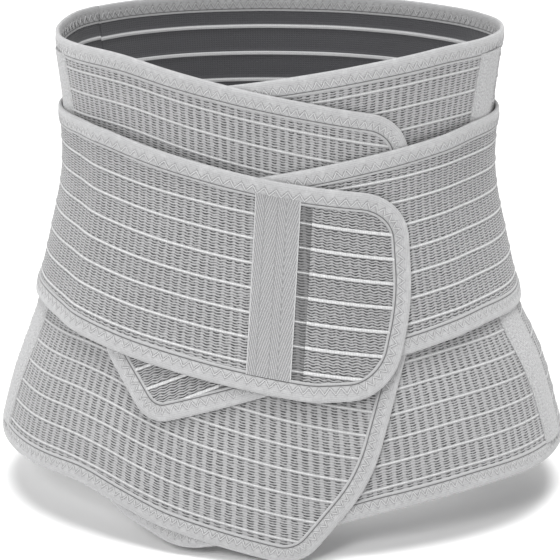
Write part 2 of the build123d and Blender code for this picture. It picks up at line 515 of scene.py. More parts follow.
def solid(
    name: str, points: Array, faces: list[tuple[int, ...]], uv: Array, finish: "Finish"
) -> bpy.types.Object:
    """Make a closed mesh object with its weave coordinates and its finish.

    Args:
        name: Name of the piece.
        points: Vertex positions.
        faces: Faces as vertex numbers.
        uv: Weave coordinates of each vertex, in metres.
        finish: What the piece is made of.

    Returns:
        The new object.
    """
    mesh = bpy.data.meshes.new(name)
    mesh.from_pydata(points.tolist(), [], faces)
    layer = mesh.uv_layers.new(name=WEAVE)
    corners = np.zeros(len(mesh.loops), np.int32)
    mesh.loops.foreach_get("vertex_index", corners)
    layer.data.foreach_set("uv", uv[corners].astype(np.float32).ravel())
    edit = bmesh.new()
    edit.from_mesh(mesh)
    bmesh.ops.recalc_face_normals(edit, faces=edit.faces)
    edit.to_mesh(mesh)
    edit.free()
    mesh.shade_smooth()
    mesh.set_sharp_from_angle(angle=radians(55))
    mesh.materials.append(finish.material())
    piece = bpy.data.objects.new(name, mesh)
    bpy.context.scene.collection.objects.link(piece)
    return piece


def shell(
    name: str,
    turn: Array,
    height: Array,
    lift: Array,
    thick: Array,
    keep: Array,
    uv: Array,
    finish: "Finish",
) -> bpy.types.Object:
    """Make a closed sheet over a grid of the chart.

    Args:
        name: Name of the piece.
        turn: Turn of each grid point.
        height: Height of each grid point.
        lift: Lift of the outer face at each grid point.
        thick: Thickness at each grid point.
        keep: Which grid cells are cloth.
        uv: Weave coordinates of each grid point.
        finish: What the piece is made of.

    Returns:
        The new object.
    """
    rows, columns = turn.shape
    outer = FORM.place(turn, height, lift).reshape(-1, 3)
    inner = FORM.place(turn, height, lift - thick).reshape(-1, 3)
    number = np.arange(rows * columns).reshape(rows, columns)
    a, b, c, d = number[:-1, :-1], number[1:, :-1], number[1:, 1:], number[:-1, 1:]
    under = rows * columns
    faces = np.stack([a, b, c, d], -1)[keep]
    padded = np.pad(keep, 1)
    walls = []
    for start, end, beside in (
        (a, b, padded[1:-1, :-2]),
        (b, c, padded[2:, 1:-1]),
        (c, d, padded[1:-1, 2:]),
        (d, a, padded[:-2, 1:-1]),
    ):
        bare = keep & ~beside
        first, last = start[bare], end[bare]
        walls.append(np.stack([last, first, first + under, last + under], -1))
    every = np.concatenate([faces, (faces + under)[:, ::-1], *walls])
    points = np.concatenate([outer, inner])
    used, packed = np.unique(every, return_inverse=True)
    packed = packed.reshape(every.shape)
    both = np.concatenate([uv.reshape(-1, 2)] * 2)
    return solid(name, points[used], [tuple(f) for f in packed.tolist()], both[used], finish)


def ring_faces(first: int, rings: int, around: int) -> list[tuple[int, ...]]:
    """Faces of a closed solid made of rings of points, with a flat cap at each end.

    Args:
        first: Number of the first point of the first ring.
        rings: Number of rings.
        around: Number of points in each ring.

    Returns:
        Faces as vertex numbers.
    """
    faces = []
    for here in range(first, first + (rings - 1) * around, around):
        for j in range(around):
            k = (j + 1) % around
            faces.append((here + j, here + around + j, here + around + k, here + k))
    last = first + (rings - 1) * around
    faces.append(tuple(range(first, first + around)))
    faces.append(tuple(reversed(range(last, last + around))))
    return faces


def sweep(
    name: str, lines: list[tuple[Array, int]], profile: Array, ramp: Ramp, finish: "Finish"
) -> bpy.types.Object:
    """Make a closed solid by carrying a section along edges of the cloth.

    Args:
        name: Name of the piece.
        lines: Edges as turn and height, each with the side of it on which the cloth lies.
        profile: Section as rows of inset from the edge and lift above the cloth's outer face.
        ramp: Lift of the cloth's outer face.
        finish: What the piece is made of.

    Returns:
        The new object.
    """
    points, uv, faces = [], [], []
    for line, inward in lines:
        faces += ring_faces(sum(len(p) for p in points), len(line), len(profile))
        size = np.stack([FORM.stretch(line[:, 0], line[:, 1]), np.ones(len(line))], 1)
        length = lengths(line, size)
        rings = []
        for depth, rise in profile:
            moved = inset(line, depth, inward)
            rings.append(FORM.place(moved[:, 0], moved[:, 1], ramp.at(line[:, 0]) + rise))
        points.append(np.stack(rings, 1).reshape(-1, 3))
        uv.append(np.stack(np.broadcast_arrays(length[:, None], profile[None, :, 0]), -1).reshape(-1, 2))
    return solid(name, np.concatenate(points), faces, np.concatenate(uv), finish)


def threads(name: str, runs: list[Array], radius: float, finish: "Finish") -> bpy.types.Object:
    """Make stitches as round threads along runs of points.

    Args:
        name: Name of the piece.
        runs: Runs of points in space.
        radius: Radius of the thread.
        finish: What the thread is made of.

    Returns:
        The new object.
    """
    around, flatness = 5, 0.7
    angles = tau * np.arange(around)[None, :, None] / around
    points, uv, faces = [], [], []
    base = 0
    for run in runs:
        ahead = np.gradient(run, axis=0)
        ahead /= np.maximum(np.linalg.norm(ahead, axis=1, keepdims=True), 1e-12)
        out = run * (1.0, 1.0, 0.0)
        out /= np.maximum(np.linalg.norm(out, axis=1, keepdims=True), 1e-12)
        wide = np.cross(ahead, out)
        wide /= np.maximum(np.linalg.norm(wide, axis=1, keepdims=True), 1e-12)
        high = np.cross(wide, ahead)
        arms = np.cos(angles) * wide[:, None] + flatness * np.sin(angles) * high[:, None]
        points.append((run[:, None] + radius * arms).reshape(-1, 3))
        turned = np.arange(around) * radius
        uv.append(np.stack(np.broadcast_arrays(lengths(run)[:, None], turned[None, :]), -1).reshape(-1, 2))
        faces += ring_faces(base, len(run), around)
        base += len(run) * around
    return solid(name, np.concatenate(points), faces, np.concatenate(uv), finish)


# ---------------------------------------------------------------------------- finishes

Colour = tuple[float, float, float]
Socket = bpy.types.NodeSocket
Value = Socket | float | Colour


class Board:
    """Wires the procedural nodes of one finish, in weave coordinates."""

    def __init__(self, name: str):
        """Start a material whose weave coordinates are split into across and along.

        Args:
            name: Name of the material.
        """
        self.material = bpy.data.materials.new(name)
        self.material.use_nodes = True
        tree = self.material.node_tree
        self.nodes, self.links = tree.nodes, tree.links
        self.shader = self.nodes["Principled BSDF"]
        place = self.node("ShaderNodeUVMap", uv_map=WEAVE)
        parts = self.node("ShaderNodeSeparateXYZ")
        self.links.new(place.outputs[0], parts.inputs[0])
        self.across, self.along = parts.outputs[0], parts.outputs[1]

    def node(self, kind: str, **settings: object) -> bpy.types.Node:
        """Add a node of a kind with some of its settings.

        Args:
            kind: Type of the node.
            settings: Settings of the node and their values.

        Returns:
            The new node.
        """
        made = self.nodes.new(kind)
        for key, value in settings.items():
            setattr(made, key, value)
        return made

    def feed(self, socket: Socket, value: Value) -> None:
        """Link a socket to another, or set it to a constant.

        Args:
            socket: Socket that receives the value.
            value: Another socket, or a constant.
        """
        if isinstance(value, Socket):
            self.links.new(value, socket)
        elif isinstance(value, tuple) and len(value) == 3 and socket.type == "RGBA":
            socket.default_value = (*value, 1.0)
        else:
            socket.default_value = value

    def calc(self, operation: str, *values: Value) -> Socket:
        """Result of a sum, product or other operation on one to three values.

        Args:
            operation: Name of the operation.
            values: What it works on.

        Returns:
            The result.
        """
        made = self.node("ShaderNodeMath", operation=operation)
        for socket, value in zip(made.inputs, values):
            self.feed(socket, value)
        return made.outputs[0]

    def step(self, value: Value, low: float, high: float, start: float = 0.0, end: float = 1.0) -> Socket:
        """Smooth step from start to end as a value passes from low to high.

        Args:
            value: What is read.
            low: Value at which the step begins.
            high: Value at which it ends.
            start: Result before the step.
            end: Result after it.

        Returns:
            The step.
        """
        made = self.node("ShaderNodeMapRange", interpolation_type="SMOOTHSTEP")
        for socket, item in zip(made.inputs, (value, low, high, start, end)):
            self.feed(socket, item)
        return made.outputs[0]

    def line(self, value: Value, pitch: float, width: float, soft: float) -> Socket:
        """Lines at every multiple of a pitch: 1 on the line, easing to 0 beside it.

        Args:
            value: Distance across the lines.
            pitch: Distance between two lines.
            width: Width of a line.
            soft: Width of its soft edge.

        Returns:
            The strength of the lines.
        """
        share = self.calc("FRACT", self.calc("ADD", self.calc("DIVIDE", value, pitch), 0.5))
        away = self.calc("MULTIPLY", self.calc("ABSOLUTE", self.calc("SUBTRACT", share, 0.5)), pitch)
        return self.step(away, width / 2, width / 2 + soft, 1.0, 0.0)

    def noise(self, across: float, along: float) -> Socket:
        """Soft noise whose grain is a stated number of metres across and along.

        Args:
            across: Size of the grain across the weave.
            along: Size of the grain along it.

        Returns:
            The noise, from 0 to 1.
        """
        place = self.node("ShaderNodeCombineXYZ")
        self.feed(place.inputs[0], self.calc("DIVIDE", self.across, across))
        self.feed(place.inputs[1], self.calc("DIVIDE", self.along, along))
        made = self.node("ShaderNodeTexNoise")
        self.links.new(place.outputs[0], made.inputs["Vector"])
        made.inputs["Scale"].default_value = 1.0
        made.inputs["Detail"].default_value = 2.0
        return made.outputs[0]

    def tint(self, share: Value, low: Value, high: Value) -> Socket:
        """Colour between two others: the low one where the share is 0.

        Args:
            share: Share of the high colour.
            low: Colour where the share is 0.
            high: Colour where it is 1.

        Returns:
            The colour.
        """
        made = self.node("ShaderNodeMix", data_type="RGBA")
        self.feed(made.inputs[0], share)
        self.feed(made.inputs[6], low)
        self.feed(made.inputs[7], high)
        return made.outputs[2]

    def close(
        self, colour: Value, relief: Value, depth: float, rough: float, sheen: float
    ) -> bpy.types.Material:
        """Wire the finished colour and relief to the shader.

        Args:
            colour: Colour of the surface.
            relief: Height of the fine relief, from 0 to 1.
            depth: Depth of that relief in metres.
            rough: Roughness.
            sheen: Weight of the soft fibre sheen.

        Returns:
            The material.
        """
        self.feed(self.shader.inputs["Base Color"], colour)
        self.shader.inputs["Roughness"].default_value = rough
        self.shader.inputs["Sheen Weight"].default_value = sheen
        self.shader.inputs["Sheen Roughness"].default_value = 0.6
        self.shader.inputs["Specular IOR Level"].default_value = 0.25
        bump = self.node("ShaderNodeBump")
        bump.inputs["Strength"].default_value = 1.0
        bump.inputs["Distance"].default_value = depth
        self.feed(bump.inputs["Height"], relief)
        self.links.new(bump.outputs[0], self.shader.inputs["Normal"])
        return self.material


class Finish:
    """What a piece is made of: a material slot of the record and a procedural material."""

    slot: str

    @cached_property
    def _made(self) -> bpy.types.Material:
        """The material, built at first use."""
        return self.weave()

    def material(self) -> bpy.types.Material:
        """The finish's material, made once."""
        return self._made

    def weave(self) -> bpy.types.Material:
        """Build the material; each finish has its own."""
        raise NotImplementedError


@dataclass(frozen=True)
class Knit(Finish):
    """Ribbed elastic knit: rows of small dark floats between raised pale ribs, with painted shade in a
    narrow band beside each rib.
    """

    name: str
    slot: str
    ground: Colour
    shade: Colour
    pale: Colour
    rib_pitch: float
    rib_width: float
    row_pitch: float
    column_pitch: float
    dash: float
    wave: float
    wave_length: float
    column_gap: float = 0.7

    def weave(self) -> bpy.types.Material:
        """Build the knit.

        Returns:
            The material.
        """
        board = Board(self.name)
        grain = board.noise(0.0022, 0.0011)
        cloud = board.noise(0.06, 0.05)
        swing = board.calc("SINE", board.calc("MULTIPLY", board.across, tau / self.wave_length))
        drift = board.calc("MULTIPLY", board.calc("SUBTRACT", board.noise(0.02, 0.004), 0.5), 0.0008)
        level = board.calc("ADD", board.calc("MULTIPLY_ADD", swing, self.wave, board.along), drift)
        row = board.line(level, self.row_pitch, self.row_pitch * 0.3, self.row_pitch * 0.26)
        side = board.calc("MULTIPLY_ADD", grain, 0.0022, board.across)
        column = self.column_pitch
        gap = board.line(side, column, column * (1 - self.dash), column * 0.12)
        weak = board.calc("SUBTRACT", 1.0, board.calc("MULTIPLY", gap, self.column_gap))
        patch = board.step(board.noise(0.0016, 0.0012), 0.34, 0.6)
        uneven = board.calc("MULTIPLY_ADD", patch, 0.55, 0.5)
        dark = board.calc("MULTIPLY", board.calc("MULTIPLY", row, weak), uneven)
        rib = board.line(board.along, self.rib_pitch, self.rib_width * 0.72, self.rib_width * 0.3)
        # Painted shade: the groove line is wider than the rib, and what is left of it beside the rib is
        # darkened as the shadow at the foot of the raised rib.
        groove = board.line(board.along, self.rib_pitch, self.rib_width * 1.25, self.rib_width * 0.35)
        beside = board.calc("SUBTRACT", groove, rib)
        cloth = board.tint(board.step(cloud, 0.3, 0.7), self.ground, tuple(c * 0.93 for c in self.ground))
        cloth = board.tint(dark, cloth, self.shade)
        # Painted shade beside each rib, in the knit's dark colour.
        cloth = board.tint(board.calc("MULTIPLY", beside, 0.55), cloth, self.shade)
        cord = board.line(board.across, 0.0013, 0.0004, 0.0005)
        worn = board.calc("MULTIPLY", cord, 0.3)
        worn = board.calc("MULTIPLY_ADD", board.step(grain, 0.35, 0.65), 0.35, worn)
        bright = board.tint(worn, self.pale, self.ground)
        cloth = board.tint(rib, cloth, bright)
        relief = board.calc("MULTIPLY_ADD", grain, 0.3, 0.7)
        relief = board.calc("SUBTRACT", relief, board.calc("MULTIPLY", dark, 0.8))
        relief = board.calc("MULTIPLY_ADD", rib, 0.25, relief)
        return board.close(cloth, relief, 0.00035, 0.85, 0.25)


@dataclass(frozen=True)
class LiningCloth(Finish):
    """Charcoal lining: a fine open grid with raised pale stripes."""

    name: str = "lining cloth"
    slot: str = "lining_cloth"
    ground: Colour = (0.035, 0.035, 0.038)
    stripe: Colour = (0.6, 0.6, 0.605)
    stripe_pitch: float = 0.0175

    def weave(self) -> bpy.types.Material:
        """Build the lining.

        Returns:
            The material.
        """
        board = Board(self.name)
        grain = board.noise(0.0015, 0.0015)
        up = board.line(board.across, 0.0016, 0.0005, 0.0004)
        level = board.line(board.along, 0.0014, 0.0004, 0.0004)
        grid = board.calc("MAXIMUM", up, level)
        stripe = board.line(board.along, self.stripe_pitch, 0.0018, 0.0005)
        worn = tuple(c * 2.6 for c in self.ground)
        cloth = board.tint(board.calc("MULTIPLY", grid, grain), self.ground, worn)
        cloth = board.tint(board.calc("MULTIPLY", stripe, 0.8), cloth, self.stripe)
        relief = board.calc("ADD", board.calc("MULTIPLY", grid, 0.5), board.calc("MULTIPLY", grain, 0.3))
        return board.close(cloth, relief, 0.0003, 0.9, 0.2)


@dataclass(frozen=True)
class BindingTape(Finish):
    """Elastic binding: a fine-ribbed tape with a rolled bead at its inner edge, a thin line of painted
    shade in the groove beside the bead, and painted shade along its zigzag stitches.
    """

    stitch_pitch: float
    name: str = "binding tape"
    slot: str = "binding_tape"
    ground: Colour = (0.385, 0.385, 0.39)
    bright: Colour = (0.47, 0.47, 0.475)
    bead_from: float = 0.0101

    def weave(self) -> bpy.types.Material:
        """Build the binding.

        Returns:
            The material.
        """
        board = Board(self.name)
        grain = board.noise(0.0013, 0.0009)
        mottle = board.noise(0.006, 0.003)
        cord = board.line(board.along, 0.0011, 0.0003, 0.0004)
        cross = board.line(board.across, 0.0009, 0.0002, 0.0003)
        bead = board.step(board.along, self.bead_from - 0.0003, self.bead_from + 0.0002)
        # Painted shade: this mask is a thin dark line in the groove between the tape's face and the rolled
        # bead.
        seam = board.step(board.along, 0.0103, 0.0099)
        seam = board.calc("MULTIPLY", board.step(board.along, 0.0091, 0.0096), seam)
        cloth = board.tint(board.step(grain, 0.3, 0.7), tuple(c * 0.86 for c in self.ground), self.ground)
        cloth = board.tint(board.calc("MULTIPLY", cord, 0.4), cloth, tuple(c * 0.62 for c in self.ground))
        cloth = board.tint(board.calc("MULTIPLY", board.step(mottle, 0.45, 0.75), 0.35), cloth, self.bright)
        # Painted shade in the groove beside the bead.
        cloth = board.tint(board.calc("MULTIPLY", seam, 0.9), cloth, tuple(c * 0.15 for c in self.ground))
        share = board.calc("FRACT", board.calc("DIVIDE", board.across, self.stitch_pitch))
        tooth = board.calc("ABSOLUTE", board.calc("MULTIPLY_ADD", share, 2.0, -1.0))
        thread = board.calc("MULTIPLY_ADD", tooth, STITCH_HIGH - STITCH_LOW, STITCH_LOW)
        beside = board.calc("ABSOLUTE", board.calc("SUBTRACT", board.along, thread))
        # Painted shade along the zigzag stitch line; the same mask also sinks the relief into a groove
        # there.
        stitch_groove_shade = board.step(beside, 0.0004, 0.0016, 1.0, 0.0)
        painted_stitch_shade = tuple(c * 0.35 for c in self.ground)
        # Painted shade of the stitches, in a darker copy of the tape's colour.
        cloth = board.tint(board.calc("MULTIPLY", stitch_groove_shade, 0.3), cloth, painted_stitch_shade)
        cloth = board.tint(bead, cloth, tuple(c * 0.86 for c in self.ground))
        relief = board.calc("ADD", board.calc("MULTIPLY", grain, 0.5), board.calc("MULTIPLY", cross, 0.35))
        relief = board.calc("SUBTRACT", relief, stitch_groove_shade)
        return board.close(cloth, relief, 0.0003, 0.82, 0.3)


@dataclass(frozen=True)
class Twill(Finish):
    """Woven hand tape: steep herringbone twill whose lean reverses in four zones, with pale selvedges."""

    name: str = "herringbone tape"
    slot: str = "herringbone_tape"
    width: float = 0.0262
    zones: tuple[float, ...] = (0.0057, 0.0131, 0.0182)
    ground: Colour = (0.39, 0.39, 0.395)
    shade: Colour = (0.15, 0.15, 0.153)
    fibre: Colour = (0.54, 0.54, 0.545)
    edge: Colour = (0.5, 0.5, 0.505)

    def weave(self) -> bpy.types.Material:
        """Build the twill.

        Returns:
            The material.
        """
        board = Board(self.name)
        way = 1.0
        for edge in self.zones:
            turned = board.step(board.across, edge - 0.0001, edge + 0.0001, 1.0, -1.0)
            way = board.calc("MULTIPLY", way, turned)
        lean = board.calc("MULTIPLY", board.calc("DIVIDE", board.along, 3.3), way)
        ridge = board.line(board.calc("ADD", board.across, lean), 0.00135, 0.0003, 0.0005)
        pick = board.line(board.along, 0.0009, 0.0003, 0.0003)
        grain = board.noise(0.001, 0.001)
        away = board.calc("ABSOLUTE", board.calc("SUBTRACT", board.across, self.width / 2))
        selvedge = board.step(away, self.width / 2 - 0.0008, self.width / 2 - 0.0005)
        cloth = board.tint(board.calc("MULTIPLY", ridge, 0.75), self.ground, self.shade)
        cloth = board.tint(board.calc("MULTIPLY", pick, 0.2), cloth, self.shade)
        cloth = board.tint(board.calc("MULTIPLY", board.step(grain, 0.5, 0.8), 0.3), cloth, self.fibre)
        cloth = board.tint(board.calc("MULTIPLY", selvedge, 0.6), cloth, self.edge)
        relief = board.calc("MULTIPLY", grain, 0.4)
        relief = board.calc("SUBTRACT", relief, board.calc("MULTIPLY", ridge, 0.8))
        return board.close(cloth, relief, 0.0003, 0.8, 0.2)


@dataclass(frozen=True)
class PlainWeave(Finish):
    """Plain woven tape with a fine cross grain; a big pile depth gives hook tape."""

    name: str
    slot: str
    ground: Colour
    shade: Colour
    pitch: float
    depth: float

    def weave(self) -> bpy.types.Material:
        """Build the tape.

        Returns:
            The material.
        """
        board = Board(self.name)
        grain = board.noise(self.pitch * 1.4, self.pitch * 1.1)
        up = board.line(board.across, self.pitch, self.pitch * 0.3, self.pitch * 0.25)
        level = board.line(board.along, self.pitch * 0.8, self.pitch * 0.25, self.pitch * 0.2)
        grid = board.calc("MAXIMUM", up, level)
        worn = board.calc("MULTIPLY", grid, board.step(grain, 0.2, 0.8))
        cloth = board.tint(worn, self.ground, self.shade)
        relief = board.calc("SUBTRACT", grain, board.calc("MULTIPLY", grid, 0.7))
        return board.close(cloth, relief, self.depth, 0.85, 0.2)


@dataclass(frozen=True)
class Thread(Finish):
    """Twisted sewing thread."""

    name: str = "sewing thread"
    slot: str = "binding_tape"
    ground: Colour = (0.54, 0.54, 0.545)

    def weave(self) -> bpy.types.Material:
        """Build the thread.

        Returns:
            The material.
        """
        board = Board(self.name)
        twist = board.line(board.calc("ADD", board.across, board.along), 0.0007, 0.0002, 0.0002)
        groove = tuple(c * 0.55 for c in self.ground)
        cloth = board.tint(board.calc("MULTIPLY", twist, 0.5), self.ground, groove)
        return board.close(cloth, twist, 0.0001, 0.6, 0.2)


@dataclass(frozen=True)
class BoneSteel(Finish):
    """Flat spring-steel bone with faint rolling marks."""

    name: str = "bone steel"
    slot: str = "bone_steel"

    def weave(self) -> bpy.types.Material:
        """Build the steel.

        Returns:
            The material.
        """
        board = Board(self.name)
        marks = board.noise(0.0006, 0.02)
        cloth = board.tint(marks, (0.45, 0.45, 0.46), (0.62, 0.62, 0.63))
        board.shader.inputs["Metallic"].default_value = 1.0
        return board.close(cloth, marks, 0.00002, 0.32, 0.0)


WING_PITCH, BAND_PITCH = 0.01394, 0.0142
WING_KNIT = Knit(
    name="ribbed knit", slot="ribbed_knit", ground=(0.33, 0.33, 0.334), shade=(0.03, 0.03, 0.031),
    pale=(0.49, 0.49, 0.494), rib_pitch=WING_PITCH, rib_width=0.0012, row_pitch=WING_PITCH / 9,
    column_pitch=0.0047, dash=0.72, wave=0.00016, wave_length=0.0047,
)
BAND_KNIT = Knit(
    name="band knit", slot="band_knit", ground=(0.34, 0.34, 0.344), shade=(0.025, 0.025, 0.026),
    pale=(0.56, 0.56, 0.565), rib_pitch=BAND_PITCH, rib_width=0.0012, row_pitch=BAND_PITCH / 9,
    column_pitch=0.0047, dash=0.8, wave=0.00022, wave_length=0.0047, column_gap=0.5,
)
# Painted shade: a darker copy of the band knit for the strip between the hand tape and the end panel,
# standing for their shadow on band knit that is darker there as well.
SHADED_KNIT = Knit(
    name="shaded band knit", slot="band_knit", ground=(0.17, 0.17, 0.172), shade=(0.03, 0.03, 0.031),
    pale=(0.3, 0.3, 0.303), rib_pitch=BAND_PITCH, rib_width=0.0012, row_pitch=BAND_PITCH / 9,
    column_pitch=0.0047, dash=0.8, wave=0.00022, wave_length=0.0047, column_gap=0.5,
)
END_KNIT = Knit(
    name="end knit", slot="end_knit", ground=(0.32, 0.32, 0.324), shade=(0.025, 0.025, 0.026),
    pale=(0.58, 0.58, 0.585), rib_pitch=BAND_PITCH, rib_width=0.0018, row_pitch=BAND_PITCH / 9,
    column_pitch=0.0047, dash=0.9, wave=0.00032, wave_length=0.0047, column_gap=0.3,
)
LINING, TWILL, THREAD, STEEL = LiningCloth(), Twill(), Thread(), BoneSteel()
CASING = PlainWeave("casing tape", "casing_tape", (0.45, 0.45, 0.455), (0.22, 0.22, 0.222), 0.0011, 0.0002)
HOOK = PlainWeave("hook tape", "hook_tape", (0.3, 0.3, 0.305), (0.08, 0.08, 0.082), 0.0016, 0.0006)


# ---------------------------------------------------------------------------- pieces every layer has

AnyCut = Cut | BackCut
Chooser = Callable[[Array, Array], Array]


@dataclass(frozen=True)
class Layer:
    """One layer of the belt: a knit face, what lines it, and the binding sewn over its edge."""

    name: str
    cut: AnyCut
    knit: Knit
    column: float = 0.003
    skin: float = 0.001
    lining: float = 0.0008
    rib_rise: float = 0.00045
    hidden: float = 0.005
    stitch_pitch: float = 0.005

    def grid(self, rises: Array, turns: Array | None = None) -> tuple[Array, Array, Array]:
        """Grid of the cloth.

        Args:
            rises: Rises of the grid's rows above the bottom edge.
            turns: Turns of its columns, or None for the whole layer.

        Returns:
            Turns, heights and rises of the grid's points.
        """
        if turns is None:
            low, high = self.cut.turns()
            count = int(FORM.along(high) / self.column - FORM.along(low) / self.column)
            turns = np.linspace(low, high, count)
        turn, rise = np.meshgrid(turns, rises, indexing="ij")
        return turn, self.cut.height_of(turn, rise), rise

    def rib_rows(self) -> Array:
        """Rises of the rows that draw the ribs and the cloth between them.

        Returns:
            The rises, from below the lowest rib to above the top one.
        """
        within = np.array([-1.2, -0.8, -0.4, 0.0, 0.4, 0.8, 1.2, 2.6, 5.0, 7.1, 9.3, 11.4]) * MM
        first, pitch = self.cut.first_rib * MM, self.cut.rib_pitch * MM
        below, above = first / pitch, (self.cut.full_height * MM - first) / pitch
        ribs = first + pitch * np.arange(-int(below) - 3, int(above) + 3)
        return (ribs[:, None] + within[None, :]).ravel()

    def from_rib(self, rise: Array) -> Array:
        """Distance of each rise from the nearest rib.

        Args:
            rise: Rises above the bottom edge.

        Returns:
            The distance of each.
        """
        pitch = self.cut.rib_pitch * MM
        share = (rise - self.cut.first_rib * MM) / pitch
        return np.abs((share + 0.5) % 1.0 - 0.5) * pitch

    def cells(self, turn: Array, height: Array, margin: float) -> Array:
        """Which grid cells lie a margin inside the layer's outline."""
        return enclosed(middles(turn), middles(height), self.cut.ring(margin))

    def weave_uv(self, turn: Array, rise: Array) -> Array:
        """Weave coordinates: length round the form, and rise above the first rib."""
        return np.stack([FORM.along(turn), rise - self.cut.first_rib * MM], -1)

    def face(self, name: str, part: Chooser | None = None) -> bpy.types.Object:
        """Build the knit face.

        Args:
            name: Name of the piece.
            part: Which grid cells it covers, or None for the whole layer.

        Returns:
            The piece.
        """
        turn, height, rise = self.grid(self.rib_rows())
        keep = self.cells(turn, height, self.hidden)
        if part is not None:
            keep &= part(turn, height)
        away = self.from_rib(rise)
        up = self.rib_rise * (1.0 - ease(away, 0.0, self.knit.rib_width * 0.62))
        lift = self.cut.ramp.at(turn) + up
        return shell(name, turn, height, lift, self.skin + up, keep, self.weave_uv(turn, rise), self.knit)

    def inside(self, name: str, finish: Finish, part: Chooser | None = None) -> bpy.types.Object:
        """Build the lining, or another cloth that lies on the inside.

        Args:
            name: Name of the piece.
            finish: What it is made of.
            part: Which grid cells it covers, or None for the whole layer.

        Returns:
            The piece.
        """
        pitch = LINING.stripe_pitch
        top = self.cut.full_height * MM - 0.021
        within = np.array([-1.4, -0.9, 0.0, 0.9, 1.4, 4.0, 8.0, 12.0]) * MM
        stripes = top - pitch * np.arange(-3, int(self.cut.full_height * MM / pitch) + 3)
        rises = np.sort((stripes[:, None] + within[None, :]).ravel())
        turn, height, rise = self.grid(rises)
        keep = self.cells(turn, height, self.hidden + 0.001)
        if part is not None:
            keep &= part(turn, height)
        away = np.abs(((rise - top) / pitch + 0.5) % 1.0 - 0.5) * pitch
        up = 0.0003 * (1.0 - ease(away, 0.0008, 0.0014))
        lift = self.cut.ramp.at(turn) - self.skin
        uv = np.stack([FORM.along(turn), rise - top], -1)
        return shell(name, turn, height, lift, self.lining + up, keep, uv, finish)

    def binding(self, name: str, edges: list[tuple[Array, int]]) -> bpy.types.Object:
        """Build the folded binding over some edges.

        Args:
            name: Name of the piece.
            edges: Edges, each with the side of it on which the cloth lies.

        Returns:
            The piece.
        """
        finish = BindingTape(self.stitch_pitch)
        profile = np.array([
            (0.0, -0.9), (0.25, -0.2), (0.9, 0.35), (2.0, 0.62), (4.0, 0.7), (7.0, 0.68), (9.4, 0.6),
            (9.8, 0.4), (10.1, 0.5), (10.5, 0.74), (10.9, 0.72), (11.25, 0.5), (11.4, 0.05),
            (11.4, -1.6), (11.2, -2.05), (10.7, -2.15), (10.2, -2.0), (7.0, -2.1), (3.0, -2.1), (0.9, -1.9),
            (0.25, -1.5),
        ]) * MM
        return sweep(name, edges, profile, self.cut.ramp, finish)

    def stitching(self, name: str, edges: list[tuple[Array, int]]) -> bpy.types.Object:
        """Build the zigzag stitches that hold the binding, on its outer and inner faces.

        Args:
            name: Name of the piece.
            edges: Edges, each with the side of it on which the cloth lies.

        Returns:
            The piece.
        """
        runs = []
        pitch = self.stitch_pitch
        for line, inward in edges:
            size = np.stack([FORM.stretch(line[:, 0], line[:, 1]), np.ones(len(line))], 1)
            fine = respaced(line, pitch / 8, size)
            length = np.linspace(0.0, lengths(line, size)[-1], len(fine))
            tooth = np.abs(length / pitch * 2.0 % 2.0 - 1.0)
            depth = STITCH_LOW + (STITCH_HIGH - STITCH_LOW) * tooth
            for rise, swell in ((0.00072, 0.00015), (-0.00215, -0.00015)):
                moved = inset(fine, depth, inward)
                lift = self.cut.ramp.at(fine[:, 0]) + rise + swell * np.sin(tooth * pi)
                runs.append(FORM.place(moved[:, 0], moved[:, 1], lift))
        return threads(name, runs, THREAD_RADIUS, THREAD)


def strip(
    name: str,
    turns: Array,
    heights: Array,
    width: float,
    lift: Array,
    thick: float,
    swell: float,
    finish: Finish,
    columns: int = 13,
) -> bpy.types.Object:
    """Build an upright tape or bone.

    Args:
        name: Name of the piece.
        turns: Turn of its middle at each height.
        heights: Heights of its rows.
        width: Width over the fabric.
        lift: Lift of its underside at each height.
        thick: Thickness.
        swell: How much its middle stands up over a bone.
        finish: What it is made of.
        columns: Number of columns across.

    Returns:
        The piece.
    """
    across = np.linspace(-width / 2, width / 2, columns)
    turn = turns[None, :] + across[:, None] / FORM.stretch(turns, heights)[None, :]
    height = np.broadcast_to(heights, turn.shape)
    share = np.abs(across)[:, None] / (width / 2)
    up = swell * (1.0 - ease(share, 0.45, 0.8)) + np.zeros_like(turn)
    edge = 0.25 * thick * ease(share, 0.9, 1.0)
    top = lift[None, :] + thick + up - edge
    keep = np.ones((columns - 1, len(heights) - 1), bool)
    uv = np.stack(np.broadcast_arrays(across[:, None] + width / 2, heights[None, :]), -1)
    return shell(name, turn, height, top, thick + up * 0.999 - edge, keep, uv, finish)


def stitch_rows(
    name: str, turns: Array, heights: Array, offsets: tuple[float, ...], lift: Array
) -> bpy.types.Object:
    """Build straight rows of short stitches beside the middle of an upright tape.

    Args:
        name: Name of the piece.
        turns: Turn of the middle of the tape at each height.
        heights: Heights of the rows.
        offsets: Distance of each row of stitches from the middle.
        lift: Lift of the thread at each height.

    Returns:
        The piece.
    """
    runs = []
    bow = np.array([-0.00025, 0.0001, 0.0001, -0.00025])
    for offset in offsets:
        shifted = turns + offset / FORM.stretch(turns, heights)
        line = np.stack([shifted, heights, lift], 1)
        plain = np.ones(len(heights))
        size = np.stack([FORM.stretch(shifted, heights), plain, plain], 1)
        fine = respaced(line, STITCH_STEP, size)
        for start in range(0, len(fine) - len(bow), len(bow) + 1):
            piece = fine[start : start + len(bow)]
            runs.append(FORM.place(piece[:, 0], piece[:, 1], piece[:, 2] + bow))
    return threads(name, runs, FINE_THREAD_RADIUS, THREAD)


# ---------------------------------------------------------------------------- sub-assemblies

TAPE_END, COVERED = 0.0095, 0.0106


